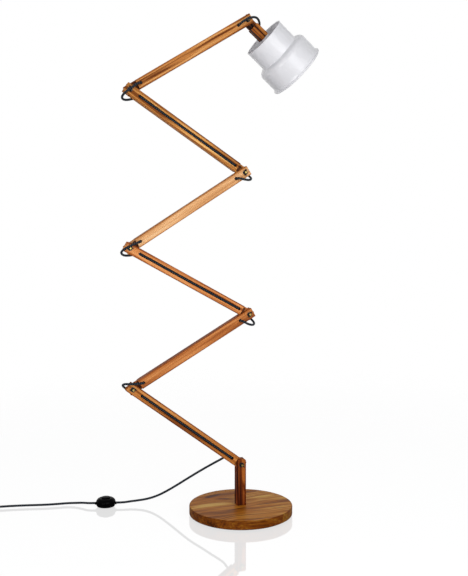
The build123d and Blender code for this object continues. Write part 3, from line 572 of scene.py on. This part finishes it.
def paint_shade_in_cuts(n, colour, own, ends):
    """Paints shade on a stick's long edges and its faces across Z, on its tenon and fork, and most
    of all in its groove and holes.
    """
    along, deep, across = n.parts(own)
    side_room = n.math("SUBTRACT", HALF_STOCK, n.math("ABSOLUTE", across))
    face_room = n.math("SUBTRACT", FACE, n.math("ABSOLUTE", deep))
    from_low = n.math("SUBTRACT", along, ends[0])
    end_room = n.math("MINIMUM", from_low, n.math("SUBTRACT", ends[1], along))
    inside = n.math("MINIMUM", side_room, face_room)
    past_cheeks = n.step(end_room, CHEEK_END - CHEEK_SOFT, CHEEK_END + CHEEK_SOFT)
    shaded_recess = n.math("MULTIPLY", n.step(inside, SKIN_FROM, SKIN_TO), past_cheeks)
    under_skin = n.step(n.math("MINIMUM", inside, end_room), SKIN_FROM, SKIN_TO)
    shaded_cheek = n.math("SUBTRACT", under_skin, shaded_recess)
    # Painted shade: first the edges and faces across Z, then the groove and holes, then the tenon
    # and fork
    colour = n.shade(colour, EDGE_PAINTED_SHADE, n.step(side_room, 0.0008, 0.0045, 1.0, 0.0))
    colour = n.shade(colour, RECESS_PAINTED_SHADE, shaded_recess)
    return n.shade(colour, CHEEK_PAINTED_SHADE, shaded_cheek)


def wood(name, place, turn, ends, tones, streak, seed, slope=0.0, lean=0.0, marks=()):
    """Oiled hardwood with its grain along the X axis of its own frame.

    The tones are dark, middle and light. A slope changes the tone along the grain, a lean changes
    it from one long edge to the other, and each mark is a long soft patch: its place along and
    across, its half length and half width, its turn in degrees, and how much it lightens.
    """
    dark, middle, light = tones
    n = new_nodes(name)
    own = n.local(n.coords(), place, turn)
    shifted = n.moved(own, (seed * 1.7, seed * 0.13, seed * 0.31))
    # Slow wander of the grain, wide streaks, growth lines and fine pores
    wander = n.noise(n.scaled(shifted, (5.0, 20.0, 20.0)), 2.0, 0.5)
    swing = n.scaled(n.vector(0.0, wander, wander), (0, 0.006, 0.012))
    bent = n.moved(shifted, swing)
    wide = n.noise(n.scaled(bent, (3.0, 80.0, 80.0)), 2.0, 0.5, 0.2)
    rings = n.noise(n.scaled(bent, (4.0, 210.0, 210.0)), 1.0, 0.5, 0.1)
    pores = n.noise(n.scaled(bent, (60.0, 1500.0, 1500.0)), 2.0, 0.5)
    along, _, across = n.parts(own)
    tone = n.math("MULTIPLY_ADD", n.math("SUBTRACT", wide, 0.5), 2.6 * streak, 0.5)
    tone = n.math("MULTIPLY_ADD", n.math("SUBTRACT", rings, 0.5), 2.0 * streak, tone)
    tone = n.math("MULTIPLY_ADD", n.math("SUBTRACT", along, sum(ends) / 2), slope, tone)
    tone = n.math("MULTIPLY_ADD", across, lean / HALF_STOCK, tone)
    loose = n.moved(own, swing)
    for x, z, length, width, degrees, lighter in marks:
        patch = n.mark(loose, (x, 0, z), (0, radians(-degrees), 0), (length, FAR, width))
        tone = n.math("MULTIPLY_ADD", patch, lighter, tone)
    colour = n.ramp(tone, [(0.12, dark), (0.52, middle), (0.88, light)])
    colour = with_pores(n, colour, pores, dark, 0.10)
    # Under the oil, painted shade on the edges, tenon, fork, groove and holes
    return oiled(n, paint_shade_in_cuts(n, colour, own, ends), rings, pores, 0.55, 0.46)


# Dark, middle and light tone of each arm from the lowest up, and how strong its streaks are
ARM_TONES = [
    (rgb(126, 64, 18), rgb(190, 117, 52), rgb(212, 144, 78)),
    (rgb(138, 68, 26), rgb(193, 116, 58), rgb(216, 143, 82)),
    (rgb(160, 84, 36), rgb(220, 140, 76), rgb(242, 168, 106)),
    (rgb(190, 126, 70), rgb(233, 175, 119), rgb(246, 202, 153)),
    (rgb(128, 68, 20), rgb(212, 144, 72), rgb(238, 184, 112)),
    (rgb(110, 54, 14), rgb(196, 126, 62), rgb(226, 164, 98)),
]
ARM_STREAKS = (0.8, 0.7, 0.7, 0.4, 0.9, 0.75)
ARM_LEANS = (0.0, 0.0, 0.05, 0.0, 0.28, 0.0)
NECK_TONES = (rgb(44, 16, 2), rgb(132, 66, 18), rgb(196, 124, 54))
POST_TONES = (rgb(54, 14, 1), rgb(114, 49, 8), rgb(176, 98, 38))
POST_MARKS = [(0.122, 0.0, 0.040, 0.0085, 0.0, 0.30), (0.082, -0.001, 0.022, 0.004, 8.0, -0.3)]


def paint_wood():
    for n in ARMS:
        frame_of_arm = arm_matrix(n)
        look = wood(
            f"arm_wood_{n + 1}", frame_of_arm.to_translation(), frame_of_arm.to_euler(),
            (-TENON_END, arm_length(n) + FORK_END), ARM_TONES[n], ARM_STREAKS[n],
            seed=n + 1.0, lean=ARM_LEANS[n],
        )  # fmt: skip
        paint(look, f"arm_{n + 1}")
    frame_of_neck = neck_matrix()
    look = wood(
        "neck_wood", frame_of_neck.to_translation(), frame_of_neck.to_euler(),
        (-TENON_END, NECK_LENGTH), NECK_TONES, 1.4, seed=9.0,
    )  # fmt: skip
    paint(look, "neck")
    upright = Euler((0, radians(-90), 0))
    look = wood(
        "post_wood", (POST_X, 0, 0), upright, (BASE_TOP, POST_TOP), POST_TONES, 0.7,
        seed=11.0, slope=3.4, marks=POST_MARKS,
    )  # fmt: skip
    paint(look, "post")


# Long soft patches in the base's grain, in metres and degrees from the picture: place, half
# length, half width, turn, and how much the patch lightens
BASE_MARKS = [
    (-0.085, 0.012, 0.080, 0.020, 3.0, 0.50),
    (0.090, 0.046, 0.070, 0.017, 6.0, 0.42),
    (-0.062, 0.097, 0.040, 0.012, 24.0, -0.55),
    (-0.034, 0.062, 0.034, 0.012, -12.0, -0.50),
    (-0.015, -0.036, 0.055, 0.0035, 15.0, -0.50),
    (0.085, -0.014, 0.080, 0.0030, 6.0, -0.42),
    (0.036, -0.061, 0.040, 0.0030, 7.0, -0.45),
    (0.092, -0.058, 0.034, 0.0030, -20.0, -0.45),
]


def base_wood():
    """Wide boards with the grain nearly along X, and painted shade on the rim and side."""
    n = new_nodes("base_wood")
    coords = n.coords()
    own = n.local(coords, turn=(0, 0, radians(BASE_GRAIN)))
    wander = n.noise(n.scaled(own, (5.0, 9.0, 9.0)), 2.0, 0.5)
    bent = n.moved(own, n.scaled(n.vector(0.0, wander), (0, 0.06, 0)))
    wide = n.noise(n.scaled(bent, (4.0, 40.0, 40.0)), 2.0, 0.5, 0.4)
    rings = n.noise(n.scaled(bent, (6.0, 210.0, 210.0)), 3.0, 0.6, 0.3)
    pores = n.noise(n.scaled(bent, (70.0, 2000.0, 2000.0)), 2.0, 0.5)
    tone = n.math("MULTIPLY_ADD", n.math("SUBTRACT", wide, 0.5), 1.5, 0.48)
    tone = n.math("MULTIPLY_ADD", n.math("SUBTRACT", rings, 0.5), 1.5, tone)
    on_top = n.step(n.parts(coords)[2], BASE_TOP - 0.003, BASE_TOP - 0.001)
    nudge = n.scaled(n.vector(0.0, n.math("SUBTRACT", wander, 0.5)), (0, 0.03, 0))
    loose = n.moved(coords, nudge)
    for x, y, length, width, degrees, lighter in BASE_MARKS:
        patch = n.mark(loose, (x, y, 0), (0, 0, radians(degrees)), (length, width, FAR))
        tone = n.math("MULTIPLY_ADD", n.math("MULTIPLY", patch, on_top), lighter, tone)
    stops = [(0.05, rgb(84, 42, 10)), (0.42, rgb(186, 108, 24)), (0.62, rgb(212, 136, 43))]
    colour = n.ramp(tone, stops + [(0.92, rgb(250, 200, 108))])
    colour = with_pores(n, colour, pores, BASE_PORE, 0.18)
    reach = n.length(n.scaled(coords, (1, 1, 0)))
    # Painted shade on the rim round the top's edge and on the side
    shaded_rim = n.step(reach, BASE_R - 0.0026, BASE_R - 0.0008)
    return oiled(n, n.shade(colour, BASE_SIDE_PAINTED_SHADE, shaded_rim), rings, pores, 0.52, 0.44)


def enamel():
    """Glossy white enamel on the shade, a little uneven."""
    n = new_nodes("white_enamel_shade")
    coords = n.coords()
    ripple = n.noise(coords, 2.0, 0.5, scale=28.0)
    cloud = n.noise(coords, 3.0, 0.5, scale=9.0)
    colour = n.mix(n.step(cloud, 0.3, 0.7), rgb(229, 229, 233), rgb(233, 233, 237))
    return n.surface(
        Base_Color=colour, Roughness=n.step(cloud, 0.3, 0.7, 0.24, 0.30), Coat_Weight=0.25,
        Coat_Roughness=0.10, Specular_IOR_Level=0.35, Normal=n.bump(ripple, 0.0003, 0.2),
    )  # fmt: skip


def satin_white():
    n = new_nodes("satin_white")
    grain = n.noise(n.coords(), 2.0, 0.5, scale=900.0)
    colour = n.mix(grain, rgb(206, 202, 204), rgb(222, 219, 221))
    return n.surface(Base_Color=colour, Roughness=0.42, Normal=n.bump(grain, 0.00008, 0.4))


def metal(name, colour, worn, roughness):
    """Turned or plated metal with fine tool marks and tarnish."""
    n = new_nodes(name)
    coords = n.coords()
    marks = n.noise(n.scaled(coords, (300.0, 60.0, 300.0)), 3.0, 0.6)
    stain = n.noise(coords, 3.0, 0.55, scale=160.0)
    return n.surface(
        Base_Color=n.mix(n.step(stain, 0.35, 0.75), colour, worn), Metallic=1.0,
        Roughness=n.step(marks, 0.3, 0.7, roughness * 0.8, roughness * 1.3),
        Normal=n.bump(marks, 0.00004, 0.35),
    )  # fmt: skip


def bolt_metal():
    """Dull brass with thread ridges on the bolt's end in front, and black washers."""
    n = new_nodes("bolt_brass")
    coords = n.coords()
    along = n.parts(coords)[1]
    ridge = n.math("SINE", n.math("MULTIPLY", along, 2 * pi / THREAD_PITCH))
    in_front = n.step(along, -FACE - 2 * WASHER_T, -FACE - WASHER_T, 1.0, 0.0)
    from_wood = n.math("SUBTRACT", n.math("ABSOLUTE", along), FACE)
    washer = n.step(from_wood, WASHER_T, WASHER_T * 1.05, 1.0, 0.0)
    stain = n.noise(coords, 3.0, 0.55, scale=160.0)
    brass = n.mix(n.step(stain, 0.35, 0.75), rgb(176, 158, 92), rgb(120, 98, 50))
    return n.surface(
        Base_Color=n.mix(washer, brass, rgb(14, 13, 13)), Metallic=n.math("SUBTRACT", 1.0, washer),
        Roughness=n.step(stain, 0.3, 0.7, 0.30, 0.45),
        Normal=n.bump(n.math("MULTIPLY", ridge, in_front), 0.0003, 0.8),
    )  # fmt: skip


def lacquer(name, colour, roughness, grain=700.0, relief=0.00006, level=0.4):
    """Painted or moulded surface with a very fine texture."""
    n = new_nodes(name)
    coords = n.coords()
    fine = n.noise(coords, 2.0, 0.5, scale=grain)
    cloud = n.noise(coords, 2.0, 0.5, scale=30.0)
    pale = tuple(min(1.0, v * 1.25 + 0.002) for v in colour[:3]) + (1.0,)
    return n.surface(
        Base_Color=n.mix(n.step(cloud, 0.3, 0.7), colour, pale),
        Roughness=n.step(cloud, 0.3, 0.7, roughness * 0.85, roughness * 1.15),
        Specular_IOR_Level=level, Normal=n.bump(fine, relief, 0.5),
    )  # fmt: skip


def felt():
    n = new_nodes("felt")
    fibres = n.noise(n.coords(), 4.0, 0.7, scale=1400.0)
    colour = n.mix(fibres, rgb(22, 22, 24), rgb(58, 58, 62))
    return n.surface(Base_Color=colour, Roughness=0.95, Normal=n.bump(fibres, 0.0004, 0.8))


def opal_glass():
    n = new_nodes("opal_glass")
    cloud = n.noise(n.coords(), 2.0, 0.5, scale=40.0)
    colour = n.mix(cloud, rgb(236, 233, 226), rgb(246, 244, 240))
    return n.surface(
        Base_Color=colour, Roughness=0.12, Subsurface_Weight=0.35, Subsurface_Scale=0.01,
        Transmission_Weight=0.1, Coat_Weight=0.3, Normal=n.bump(cloud, 0.0001, 0.2),
    )  # fmt: skip


def paint_fittings():
    paint(base_wood(), "base_disc")
    paint(enamel(), "shade")
    paint(satin_white(), "socket_collar", "shade_bridge")
    paint(lacquer("holder_white", rgb(226, 223, 216), 0.3), "lamp_holder")
    paint(felt(), "base_felt")
    paint(opal_glass(), "bulb_glass")
    paint(bolt_metal(), *[f"hinge_bolt_{n}" for n in HINGES])
    plain_brass = metal("plain_brass", rgb(196, 160, 92), rgb(150, 116, 62), 0.28)
    paint(plain_brass, "post_insert", "holder_sleeve", "holder_nipple", "plug_pins")
    zinc = metal("zinc_plate", rgb(186, 186, 184), rgb(140, 140, 140), 0.34)
    paint(zinc, "bulb_cap", "post_bolt", "ballast_screws")
    paint(lacquer("ballast_black", rgb(30, 30, 32), 0.5), "ballast_plate")
    nut_black = lacquer("nut_black", rgb(11, 10, 10), 0.5, grain=500.0, relief=0.0001, level=0.25)
    paint(nut_black, *[f"wing_nut_{n}" for n in HINGES])
    switch_black = lacquer("switch_black", rgb(1, 1, 2), 0.2, level=0.02)
    paint(switch_black, "switch_base", "switch_cover", "switch_button")
    paint(lacquer("plug_black", rgb(14, 14, 15), 0.45, level=0.3), "plug_body")


# Floor, backdrop and lights

FLOOR_HALF = 3.0
FLOOR_DROP = 0.003  # the mirroring plane lies a little under the lamp, as under a clear sheet
FLOOR_MIRROR = 0.24
FLOOR_GLOW = 0.92
FLOOR_SHADE = 0.18
FLOOR_FADE_FROM = 0.9
FLOOR_FADE_TO = 2.8
SOFT_BELOW = 0.54
SOFT_ABOVE = 0.16
SOFT_COLOUR = (0.97, 0.98, 1.0, 1)
LIGHTS_AIM = Vector((-0.1, 0, 0.7))
# Name, place, size and watts of each soft light
LIGHTS = [
    ("key_light", (0.3, -3.0, 1.2), (2.2, 2.0), 45),
    ("fill_light", (-2.3, -2.3, 0.4), (1.8, 0.7), 26),
    ("top_light", (0.6, -0.6, 3.2), (2.0, 2.0), 3.5),
]


def floor_look():
    """Matte white to light rays; to the camera a white that keeps shadows, mirrors and fades out."""
    n = new_nodes("floor_white")
    coords = n.coords()
    mottle = n.noise(coords, 2.0, 0.5, scale=3.0)
    pale = n.mix(mottle, rgb(238, 238, 238), rgb(240, 240, 240))
    matte = n.add("ShaderNodeBsdfDiffuse", {"Color": pale})
    faint = n.mix(mottle, grey(FLOOR_SHADE), grey(FLOOR_SHADE * 1.02))
    shadowed = n.add("ShaderNodeBsdfDiffuse", {"Color": faint})
    glow = n.add("ShaderNodeEmission", {"Color": WHITE, "Strength": FLOOR_GLOW})
    lit = n.add("ShaderNodeAddShader", {0: shadowed.outputs[0], 1: glow.outputs[0]})
    mirror = n.add("ShaderNodeBsdfGlossy", {"Color": WHITE, "Roughness": 0.02})
    seen = n.add("ShaderNodeLightPath").outputs["Is Camera Ray"]
    both = n.mix_shader(seen, matte, n.mix_shader(FLOOR_MIRROR, lit, mirror))
    far_off = n.step(n.length(coords), FLOOR_FADE_FROM, FLOOR_FADE_TO)
    clear = n.add("ShaderNodeBsdfTransparent")
    return n.show(n.mix_shader(n.math("MULTIPLY", far_off, seen), both, clear))


def make_floor():
    """A flat floor, wide enough that its edge has faded out."""
    corners = [(-1, -1), (1, -1), (1, 1), (-1, 1)]
    places = [(x * FLOOR_HALF, y * FLOOR_HALF, -FLOOR_DROP) for x, y in corners]
    mesh = bpy.data.meshes.new("floor")
    mesh.from_pydata(places, [], [(0, 1, 2, 3)])
    mesh.materials.append(floor_look())
    floor = bpy.data.objects.new("floor", mesh)
    bpy.context.collection.objects.link(floor)


def make_world():
    """Soft grey light on the lamp, and white walls for the camera and for reflections."""
    world = bpy.data.worlds.new("studio")
    bpy.context.scene.world = world
    n = Nodes(world, "ShaderNodeOutputWorld")
    height = n.parts(n.add("ShaderNodeTexCoord").outputs["Generated"])[2]
    levels = {"Value": height, "From Min": -1.0, "From Max": 1.0}
    levels |= {"To Min": SOFT_BELOW, "To Max": SOFT_ABOVE}
    strength = n.add("ShaderNodeMapRange", levels).outputs["Result"]
    soft = n.add("ShaderNodeBackground", {"Color": SOFT_COLOUR, "Strength": strength})
    white = n.add("ShaderNodeBackground", {"Color": WHITE, "Strength": 1.0})
    path = n.add("ShaderNodeLightPath").outputs
    seen = n.math("MAXIMUM", path["Is Camera Ray"], path["Is Glossy Ray"])
    clear = n.math("MAXIMUM", seen, path["Is Transmission Ray"])
    n.show(n.mix_shader(clear, soft, white))


def make_lights():
    for name, place, size, watts in LIGHTS:
        light = bpy.data.lights.new(name, "AREA")
        light.shape = "RECTANGLE"
        light.size, light.size_y = size
        light.energy = watts
        box = bpy.data.objects.new(name, light)
        box.location = place
        box.rotation_euler = (LIGHTS_AIM - Vector(place)).to_track_quat("-Z", "Y").to_euler()
        bpy.context.collection.objects.link(box)


make_camera()
make_world()
make_lights()
make_floor()
cloth = braid()
lead_cord(cloth)
tail_cord(cloth)
for n in ARMS:
    groove_cord(n, cloth)
    joint_loop(n, cloth)
neck_cord(cloth)
paint_wood()
paint_fittings()
bpy.context.scene.view_settings.view_transform = "Standard"
